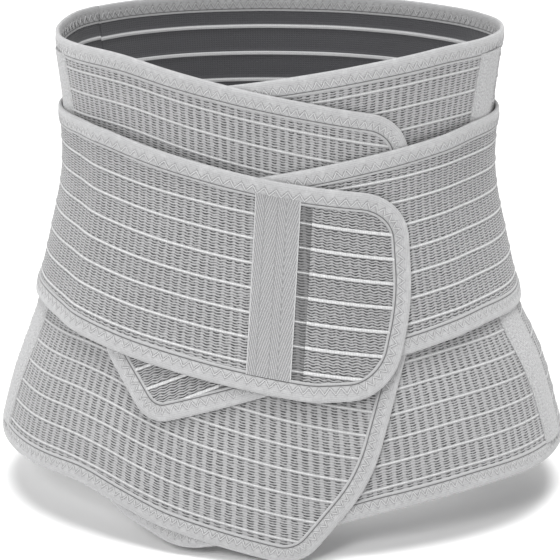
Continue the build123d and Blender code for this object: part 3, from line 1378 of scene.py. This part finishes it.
@dataclass(frozen=True)
class Panel(Layer):
    """A layer whose front end carries sewn patches, measured from the front's middle line."""

    middle: float = 0.148

    def flat_size(self, part: Chooser | None = None) -> tuple[tuple[float, float], float]:
        """Size and area of the flat cloth that a face is cut from.

        Args:
            part: Which grid cells it covers, or None for the whole layer.

        Returns:
            Its width and height, and its area, in metres.
        """
        low, high = self.cut.turns()
        columns, rows, step = 201, 161, 0.002
        turn, height = np.meshgrid(
            np.linspace(low, high, columns), -0.01 + step * np.arange(rows), indexing="ij"
        )
        covered = self.cells(turn, height, 0.0)
        if part is not None:
            covered &= part(turn, height)
        spans = FORM.stretch(turn, height)[:-1, :-1] * (high - low) / (columns - 1)
        area = float((spans * covered).sum() * step)
        width = float((spans * covered).sum(0).max())
        used = np.flatnonzero(covered.any(0))
        drop = float((used[-1] - used[0] + 1) * step)
        return (round(width, 3), round(drop, 3)), round(area, 4)

    def declare(self, piece: bpy.types.Object, part: Chooser | None = None) -> None:
        """Log the size and area of the flat cloth that a face or lining is cut from, before it is stretched
        round the waist.

        Args:
            piece: The face or lining.
            part: Which grid cells it covers, or None for the whole layer.
        """
        flat, area = self.flat_size(part)
        area = min(area, flat[0] * flat[1])
        log.info("%s: cut from %.3f by %.3f m, area %.4f square metres", piece.name, *flat, area)

    def across(self, turn: Array, height: Array) -> Array:
        """Distance of places across the front, growing towards the layer's own front end."""
        width = FORM.half_width(height) + self.cut.ramp.at(turn)
        return -self.cut.side.sign * width * np.sin(turn)

    def turn_of(self, start: Array, lean: float, height: Array) -> Array:
        """Turn of a line across the front end, a start and a lean away from the middle line.

        Args:
            start: Distance of the line from the middle of the front.
            lean: Its lean towards the end for each metre of height.
            height: Heights to read.

        Returns:
            The turn of the line at each height.
        """
        x = -self.cut.side.sign * (start + lean * (height - self.middle))
        turn = FORM.turn_at(x, height, 0.0)
        for _ in range(3):
            turn = FORM.turn_at(x, height, self.cut.ramp.at(turn))
        return turn

    def patch(
        self,
        name: str,
        start: float,
        stop: float | None,
        lean: float,
        rises: Array,
        columns: int,
        rise: Array | float,
        thick: Array | float,
        margin: float,
        finish: Finish,
        tuck: float = 0.0,
    ) -> bpy.types.Object:
        """Build a cloth sewn over part of the front end.

        Args:
            name: Name of the piece.
            start: Where it starts, from the middle line towards the front end.
            stop: Where it stops, or None to go on to the end.
            lean: Its lean towards the end for each metre of height.
            rises: Rises of its rows.
            columns: Number of its columns.
            rise: Height of its outer face above the layer's outer face.
            thick: Its thickness.
            margin: How far inside the layer's outline it ends.
            finish: What it is made of.
            tuck: How much lower it lies where the binding covers it.

        Returns:
            The piece.
        """
        share, up = np.meshgrid(np.linspace(0.0, 1.0, columns), rises, indexing="ij")
        end = self.cut.turns()[1 if self.cut.side is Side.LEFT else 0]
        turn = np.zeros_like(share)
        for _ in range(4):
            height = self.cut.height_of(turn, up)
            first = self.turn_of(start, lean, height)
            last = end if stop is None else self.turn_of(stop, lean, height)
            turn = first + share * (last - first)
        if self.cut.side is Side.RIGHT:
            turn, height, up, share = turn[::-1], height[::-1], up[::-1], share[::-1]
            rise = rise if np.ndim(rise) == 0 else rise[::-1]
        keep = self.cells(turn, height, margin)
        tucked = ~enclosed(turn, height, self.cut.ring(COVERED))
        lift = self.cut.ramp.at(turn) + rise - tuck * tucked
        if isinstance(finish, Knit):
            uv = self.weave_uv(turn, up)
        else:
            uv = np.stack([share * ((stop or 0.06) - start), up], -1)
        return shell(name, turn, height, lift, np.broadcast_to(thick, turn.shape), keep, uv, finish)


def root_points(
    side: Side, turns: tuple[float, float], height: float, lift: float
) -> tuple[Vector, Vector]:
    """Two points between which cloth starts to turn away from the back."""
    found = FORM.place(side.sign * np.radians(turns), height, lift)
    return Vector(found[0]), Vector(found[1])


@dataclass(frozen=True)
class BoneCasing:
    """Upright tape sewn over a flat steel bone, with straight rows of stitches."""

    width: float
    stitch_rows: tuple[float, ...]
    swell: float
    columns: int
    thick: float = 0.0009
    bone_width: float = 0.009
    bone_thick: float = 0.0008
    bone_ends: tuple[float, float] = (0.052, 0.274)

    def build(self, node: str, turns: Array, heights: Array, ramp: Ramp) -> list[bpy.types.Object]:
        """Build the casing, its bone and its stitches.

        Args:
            node: Name of the place, as the nodes of the casing and bone have it.
            turns: Turn of the middle of the tape at each height.
            heights: Heights of its rows.
            ramp: Lift of the cloth's outer face.

        Returns:
            The three pieces.
        """
        lift = ramp.at(turns) + 0.00005
        casing = strip(
            f"{node}_casing_tape", turns, heights, self.width, lift, self.thick, self.swell, CASING,
            self.columns,
        )
        inner = (heights > self.bone_ends[0]) & (heights < self.bone_ends[1])
        bone = strip(
            f"{node}_bone", turns[inner], heights[inner], self.bone_width, lift[inner] + 0.0004,
            self.bone_thick, 0.0, STEEL, 5,
        )
        stitches = stitch_rows(f"{node}_casing_stitches", turns, heights, self.stitch_rows, lift + 0.00105)
        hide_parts(f"{node}_casing")
        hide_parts(f"{node}_stay")
        return [casing, bone, stitches]


@dataclass(frozen=True)
class BackPanel:
    """Back panel: ribbed face, lining, two bound edges and four boned casings."""

    cut: BackCut
    bones: tuple[tuple[str, float], ...]
    casing: BoneCasing
    bone_rows: int = 90

    def build(self) -> list[bpy.types.Object]:
        """Build and dress every piece of the back panel.

        Returns:
            The pieces.
        """
        layer = Panel("back", self.cut, WING_KNIT)
        face = layer.face("back_panel_face")
        lining = layer.inside("back_panel_lining", LINING)
        pieces = [face, lining]
        for word, edge in zip(("top", "bottom"), self.cut.edges()):
            binding = layer.binding(f"back_{word}_binding", [edge])
            stitches = layer.stitching(f"back_{word}_binding_stitches", [edge])
            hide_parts(f"back_binding_{word}")
            pieces += [binding, stitches]
        for side in Side:
            for place, across in self.bones:
                pieces += self._bone(side, place, across)
            pieces.append(self._seam(side))
        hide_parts("back_panel")
        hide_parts("back_lining")
        for piece in pieces:
            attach(piece, "back")
        layer.declare(face)
        layer.declare(lining)
        return pieces

    def _bone(self, side: Side, place: str, across: float) -> list[bpy.types.Object]:
        """Build one bone with its casing, upright at a distance from the middle of the back.

        Args:
            side: Side of the back that the bone is on.
            place: Word for its place on that side.
            across: Its distance from the middle of the back.

        Returns:
            The casing, the bone and the stitches.
        """
        (_, _), (hem, _) = self.cut.edges()
        order = np.argsort(hem[:, 0])
        turn = pi - side.sign * asin(across / FORM.half_widths[2])
        low = float(np.interp(turn, hem[order, 0], hem[order, 1])) + TAPE_END
        heights = np.linspace(low, self.cut.top * MM - TAPE_END, self.bone_rows)
        places = np.full(self.bone_rows, across)
        turns = pi - side.sign * FORM.turn_at(places, heights, self.cut.ramp.at(turn))
        return self.casing.build(f"{side.word}_back_{place}", turns, heights, self.cut.ramp)

    def _seam(self, side: Side) -> bpy.types.Object:
        """Build the zigzag that joins a wing to the back panel.

        Args:
            side: Side that the wing is on.

        Returns:
            The stitches.
        """
        heights = np.arange(0.037, 0.2935, STITCH_STEP)
        phase = np.abs((np.arange(len(heights)) / 4.0 % 2.0) - 1.0)
        turns = side.sign * (radians(self.cut.seam) + (phase - 0.5) * radians(2.6))
        points = FORM.place(turns, heights, self.cut.ramp.at(0.0) + 0.0005)
        return threads(f"{side.word}_wing_seam_stitches", [points], 0.00032, THREAD)


@dataclass(frozen=True)
class Wing:
    """Elastic front wing: ribbed face, lining, binding and a boned casing at the side of the waist."""

    cut: Cut
    bone_depth: float
    casing: BoneCasing
    hook_start: float | None
    bone_rows: int = 90

    def build(self) -> list[bpy.types.Object]:
        """Build and dress every piece of the wing.

        Returns:
            The pieces.
        """
        side = self.cut.side
        word = f"{side.word}_wing"
        layer = Panel(word, self.cut, WING_KNIT)
        face = layer.face(f"{word}_face")
        lining = layer.inside(f"{word}_lining_cloth", LINING)
        binding = layer.binding(f"{word}_edge_binding", self.cut.edges())
        stitches = layer.stitching(f"{word}_binding_stitches", self.cut.edges())
        bending = [face, lining, binding, stitches]
        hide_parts(f"{word}_panel")
        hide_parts(f"{word}_lining")
        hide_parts(f"{word}_binding")
        riding = self._bone()
        if self.hook_start is not None:
            rises = np.arange(0.0, 0.3, 0.005)
            hook = layer.patch(
                f"{word}_hook_tape", self.hook_start, None, 0.0, rises, 24, -0.0016, 0.0011, 0.0088, HOOK
            )
            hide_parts(f"{word}_hook")
            riding.append(hook)
        start, end = root_points(side, (115.0, 84.0), 0.16, 0.0)
        for piece in bending:
            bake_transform(piece)
        for piece in riding:
            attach(piece, word)
        layer.declare(face)
        layer.declare(lining)
        return bending + riding

    def _bone(self) -> list[bpy.types.Object]:
        """Build the side bone with its casing.

        Returns:
            The casing, the bone and the stitches.
        """
        side = self.cut.side
        heights = np.linspace(self.cut.bottom * MM + TAPE_END, self.cut.top * MM - TAPE_END, self.bone_rows)
        turns = side.sign * FORM.turn_at_depth(self.bone_depth, heights)
        return self.casing.build(f"{side.word}_side", turns, heights, self.cut.ramp)


@dataclass(frozen=True)
class TensionBand:
    """Outer tension band: knit, thick-ribbed end panel, hand tape, hook, binding and its sewn root."""

    cut: Cut
    lean: float
    tape_start: float
    tape_width: float
    end_start: float
    root: tuple[float, float]
    stitch_pitch: float
    underlap: float = 0.006

    def build(self) -> list[bpy.types.Object]:
        """Build and dress every piece of the band.

        Returns:
            The pieces.
        """
        side = self.cut.side
        word = f"{side.word}_band"
        layer = Panel(word, self.cut, BAND_KNIT, stitch_pitch=self.stitch_pitch)

        def before_end(turn: Array, height: Array) -> Array:
            """Cells that reach a little way under the end panel."""
            return self._past_start(layer, turn, height) < self.underlap

        def end_only(turn: Array, height: Array) -> Array:
            """Cells of the end panel."""
            return self._past_start(layer, turn, height) >= 0.0

        face = layer.face(f"{word}_face", before_end)
        end_panel, shaded, hook = self._end(layer, word)
        lining = layer.inside(f"{word}_inner_cloth", BAND_KNIT, before_end)
        tape = layer.patch(
            f"{side.word}_hand_tape_twill", self.tape_start, self.tape_start + self.tape_width, self.lean,
            np.arange(0.0, 0.14, 0.002), 23, 0.0009, 0.0006, 0.0092, TWILL,
        )
        binding = layer.binding(f"{word}_edge_binding", self.cut.edges())
        stitches = layer.stitching(f"{word}_binding_stitches", self.cut.edges())
        anchor = self._anchor()
        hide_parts(f"{word}_panel")
        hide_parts(f"{word}_end_panel")
        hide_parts(f"{word}_hook")
        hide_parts(f"{side.word}_hand_tape")
        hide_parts(f"{word}_binding")
        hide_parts(f"{word}_anchor")
        start, end = root_points(side, (self.root[0] - 1.0, 98.0), 0.186, 0.003)
        bending = [face, lining, binding, stitches]
        for piece in bending:
            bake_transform(piece)
        for piece in (end_panel, shaded, hook, tape):
            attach(piece, word)
        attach(anchor, "back")
        layer.declare(face, before_end)
        layer.declare(lining, before_end)
        layer.declare(end_panel, end_only)
        return [*bending, end_panel, shaded, hook, tape, anchor]

    def _past_start(self, layer: Panel, turn: Array, height: Array) -> Array:
        """How far each grid cell lies past the line where the end panel starts."""
        across, up = layer.across(middles(turn), middles(height)), middles(height)
        return across - self.end_start - self.lean * (up - layer.middle)

    def _end(self, layer: Panel, word: str) -> list[bpy.types.Object]:
        """Build the thick-ribbed end panel, the strip beside it, which is darker knit with painted shade
        from the tape and end panel, and the hook tape under it.

        Args:
            layer: The band as a layer of the belt.
            word: Name of the band.

        Returns:
            The end panel, the shaded strip and the hook tape.
        """
        rises = layer.rib_rows()
        columns, shaded_columns = 40, 7
        bulge = 0.0006 * (1.0 - ease(layer.from_rib(rises), 0.0002, 0.0013))
        up = np.broadcast_to(bulge, (columns, len(rises)))
        end_panel = layer.patch(
            f"{word}_end_cloth", self.end_start, None, self.lean, rises, columns,
            0.0004 + up, 0.0008 + up, 0.007, END_KNIT, tuck=0.0011,
        )
        # Strip of darker knit that carries painted shade from the hand tape and the end panel.
        shaded = layer.patch(
            f"{word}_shaded_strip", self.tape_start + self.tape_width - 0.002, self.end_start + 0.001,
            self.lean, rises, shaded_columns, 0.00012 + up[:shaded_columns] * 0.35, 0.0004, 0.0088,
            SHADED_KNIT,
        )
        hook = layer.patch(
            f"{word}_hook_tape", self.end_start, None, self.lean, np.arange(0.0, 0.13, 0.005), 16,
            -0.0009, 0.0011, 0.0088, HOOK,
        )
        return [end_panel, shaded, hook]

    def _anchor(self) -> bpy.types.Object:
        """Build the tape that is sewn over the band's root.

        Returns:
            The tape.
        """
        side = self.cut.side
        rows, columns, proud, drop = 60, 13, 0.0005, 0.0022
        heights = np.linspace(self.cut.bottom * MM - proud, self.cut.top * MM + proud, rows)
        middle = radians(sum(self.root) / 2)
        turns = np.full(rows, side.sign * middle)
        spread = radians(self.root[1]) - radians(self.root[0])
        width = spread * float(FORM.stretch(np.array(middle), np.array(0.2)))
        share = np.abs(np.linspace(-1.0, 1.0, columns) * side.sign + 1.0) / 2
        lift = float(self.cut.ramp.at(turns[0])) + 0.0001 - drop * ease(share, 0.62, 0.95)
        lift = lift[:, None] + np.zeros((columns, rows))
        return strip(f"{side.word}_band_root_tape", turns, heights, width, lift, 0.0015, 0.0, CASING)


@dataclass(frozen=True)
class Studio:
    """Pale room with soft light from the front, and the camera."""

    target: tuple[float, float, float] = (0.0, 0.0, 0.131)
    distance: float = 1.3
    azimuth: float = 5.0
    elevation: float = 17.5
    lens: float = 132.05
    shift: float = 0.0018
    floor_reach: float = 14.0
    room_light: float = 0.48
    backdrop_light: float = 0.6

    def build(self) -> None:
        """Build the floor, the lights, the surroundings and the camera."""
        self._floor()
        self._lights()
        self._surroundings()
        self._camera()

    def _floor(self) -> None:
        """Build the pale floor."""
        count = 25
        steps = np.linspace(-self.floor_reach, self.floor_reach, count)
        x, y = np.meshgrid(steps, steps, indexing="ij")
        points = np.stack([x, y, np.full_like(x, -0.0006)], -1).reshape(-1, 3)
        number = np.arange(count * count).reshape(count, count)
        corners = [number[:-1, :-1], number[1:, :-1], number[1:, 1:], number[:-1, 1:]]
        faces = np.stack(corners, -1).reshape(-1, 4)
        mesh = bpy.data.meshes.new("floor")
        mesh.from_pydata(points.tolist(), [], faces.tolist())
        layer = mesh.uv_layers.new(name=WEAVE)
        used = np.zeros(len(mesh.loops), np.int32)
        mesh.loops.foreach_get("vertex_index", used)
        layer.data.foreach_set("uv", points[used][:, :2].astype(np.float32).ravel())
        floor = bpy.data.objects.new("floor", mesh)
        bpy.context.scene.collection.objects.link(floor)
        board = Board("pale floor")
        cloud = board.noise(0.4, 0.4)
        pale = board.tint(cloud, (0.93, 0.93, 0.93), (0.95, 0.95, 0.95))
        mesh.materials.append(board.close(pale, cloud, 0.0, 0.9, 0.0))

    def _lights(self) -> None:
        """Build the soft lights."""
        for name, place, size, power in (
            ("front light", (-0.7, -2.2, 1.7), 0.7, 33.0),
            ("right light", (2.1, -1.2, 1.5), 1.2, 11.0),
            ("left light", (-2.2, -0.6, 1.3), 1.2, 9.0),
            ("back light", (0.3, 2.4, 1.6), 1.6, 16.0),
        ):
            lamp = bpy.data.lights.new(name, "AREA")
            lamp.size = size
            aim = (Vector(self.target) - Vector(place)).to_track_quat("-Z", "Y")
            self._hang(lamp, power, place, aim.to_euler())
        lamp = bpy.data.lights.new("top light", "SUN")
        lamp.angle = radians(30.0)
        self._hang(lamp, 2.8, (0.0, 0.0, 2.5), Euler((radians(7.0), radians(2.0), 0.0)))

    def _hang(
        self, lamp: bpy.types.Light, power: float, place: tuple[float, float, float], turned: Euler
    ) -> None:
        """Put a lamp of a power in its place in the room.

        Args:
            lamp: The lamp.
            power: Its power.
            place: Where it hangs.
            turned: How it is turned.
        """
        lamp.energy = power
        light = bpy.data.objects.new(lamp.name, lamp)
        light.location = place
        light.rotation_euler = turned
        bpy.context.scene.collection.objects.link(light)

    def _surroundings(self) -> None:
        """Build the pale room, which looks brighter than the light it gives."""
        world = bpy.data.worlds.new("pale room")
        world.use_nodes = True
        nodes, links = world.node_tree.nodes, world.node_tree.links
        surround = nodes["Background"]
        surround.inputs["Color"].default_value = (1.0, 1.0, 1.0, 1.0)
        glow = nodes.new("ShaderNodeMath")
        glow.operation = "MULTIPLY_ADD"
        links.new(nodes.new("ShaderNodeLightPath").outputs["Is Camera Ray"], glow.inputs[0])
        glow.inputs[1].default_value = self.backdrop_light
        glow.inputs[2].default_value = self.room_light
        links.new(glow.outputs[0], surround.inputs["Strength"])
        bpy.context.scene.world = world
        bpy.context.scene.view_settings.view_transform = "Standard"

    def _camera(self) -> None:
        """Build the camera."""
        away, up = radians(self.azimuth), radians(self.elevation)
        arm = Vector((sin(away) * cos(up), -cos(away) * cos(up), sin(up)))
        lens = bpy.data.cameras.new("camera")
        lens.lens = self.lens
        lens.sensor_width = 36.0
        lens.shift_x = self.shift
        lens.clip_start = 0.01
        camera = bpy.data.objects.new("camera", lens)
        camera.location = Vector(self.target) + self.distance * arm
        camera.rotation_euler = (-arm).to_track_quat("-Z", "Y").to_euler()
        bpy.context.scene.collection.objects.link(camera)
        bpy.context.scene.camera = camera


# ---------------------------------------------------------------------------- the belt


def back_panel() -> BackPanel:
    """Back panel with its sizes.

    Returns:
        The back panel.
    """
    cut = BackCut(
        seam=117.0, top=296.0, side_hem=34.5, ramp=Ramp(((0.0, 0.2),)),
        corners=((140, 34.5, 80), (52, 0, 80), (-52, 0, 80), (-140, 34.5, 80)),
        first_rib=278.5, rib_pitch=WING_PITCH / MM, full_height=296.0,
    )
    casing = BoneCasing(width=0.014, stitch_rows=(-0.0056, 0.0056), swell=0.001, columns=13)
    return BackPanel(cut, bones=(("inner", 0.026), ("outer", 0.078)), casing=casing)


def wings() -> list[Wing]:
    """Right wing, which lies innermost, and left wing.

    Returns:
        The right wing and the left wing.
    """
    shared = dict(seam=117.0, bottom=34.5, seam_top=296.0, ribs=Ribs.BETWEEN_EDGES, first_rib=252.7)
    sizes = dict(rib_pitch=WING_PITCH / MM, full_height=270.2)
    right = Cut(
        side=Side.RIGHT, top=296.0, ramp=Ramp(((0.0, 0.2),)),
        corners=(
            (105, 296, 150), (-80, 268, 28), (-92, 190, 150), (-96, 120, 200), (-102, 60, 60),
            (-93, 24, 22), (-48, 3, 40), (70, 27.5, 200), (130, 34.5, 200),
        ),
        reach=(120.0, 150.0),
        top_runs=((230, 296), (105, 296), (-80, 268)),
        bottom_runs=((230, 34.5), (130, 34.5), (70, 27.5), (-48, 3)),
        **shared, **sizes,
    )
    left = Cut(
        side=Side.LEFT, top=292.0, ramp=Ramp(((-117, 0.2), (-104, 1.4), (-80, 1.6), (-50, 2.8))),
        corners=(
            (-88, 292, 150), (76, 257, 26), (92, 210, 80), (87, 130, 200), (66, 48, 90), (25, -2.3, 26),
            (-60, 17, 150), (-112, 34.5, 60),
        ),
        reach=(110.0, 130.0),
        top_runs=((-230, 292), (-88, 292), (76, 257)),
        bottom_runs=((-230, 34.5), (-112, 34.5), (-60, 17), (25, -2.3)),
        **shared, **sizes,
    )
    casing = BoneCasing(
        width=0.028, stitch_rows=(-0.0126, -0.0074, 0.0074, 0.0126), swell=0.0009, columns=19
    )
    sewn = dict(bone_depth=0.031, casing=casing)
    return [Wing(right, hook_start=None, **sewn), Wing(left, hook_start=0.035, **sewn)]


def tension_bands() -> list[TensionBand]:
    """Right tension band and left tension band, which lies outermost.

    Returns:
        The right band and the left band.
    """
    shared = dict(
        seam=126.0, top=247.0, bottom=126.0, seam_top=247.0, ribs=Ribs.ALONG_BOTTOM, first_rib=16.4,
        rib_pitch=BAND_PITCH / MM, full_height=121.0, top_runs=((-230, 247), (230, 247)),
    )
    right = Cut(
        side=Side.RIGHT, ramp=Ramp(((-180, 5.4), (48, 5.4), (60, 3.6), (95, 3.2), (121, 2.8))),
        corners=(
            (122, 247, 60), (-82, 210, 22), (-94, 150, 100), (-99, 120, 30), (-67.5, 77, 18),
            (48, 113, 150), (130, 126, 100),
        ),
        reach=(128.5, 144.0),
        bottom_runs=((175, 126), (140, 126), (79, 118.9), (-10, 108.5), (-60, 86)),
        **shared,
    )
    left = Cut(
        side=Side.LEFT, ramp=Ramp(((-122, 3.2), (-104, 4.4), (-80, 5.6), (-58, 6.2), (-47, 8.5))),
        corners=(
            (-104, 247, 150), (10, 222.5, 300), (82, 211.2, 32), (87, 150, 150), (77, 96.5, 30),
            (30, 96.5, 100), (-145, 126, 30),
        ),
        reach=(121.0, 149.0),
        bottom_runs=((-175, 126), (-150, 124.8), (30, 97)),
        **shared,
    )
    sewn = dict(lean=0.04, tape_start=-0.007, tape_width=0.0262, end_start=0.0262, root=(119.0, 129.5))
    return [TensionBand(right, stitch_pitch=0.0055, **sewn), TensionBand(left, stitch_pitch=0.0063, **sewn)]


def main() -> None:
    """Build the belt from the inside out, then the room."""
    logging.basicConfig(level=logging.INFO, format="%(message)s")
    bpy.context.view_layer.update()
    for part in (back_panel(), *wings(), *tension_bands()):
        for piece in part.build():
            log.info("%s: %d faces", piece.name, len(piece.data.polygons))
    Studio().build()
    bpy.context.view_layer.update()


if __name__ == "__main__":
    main()
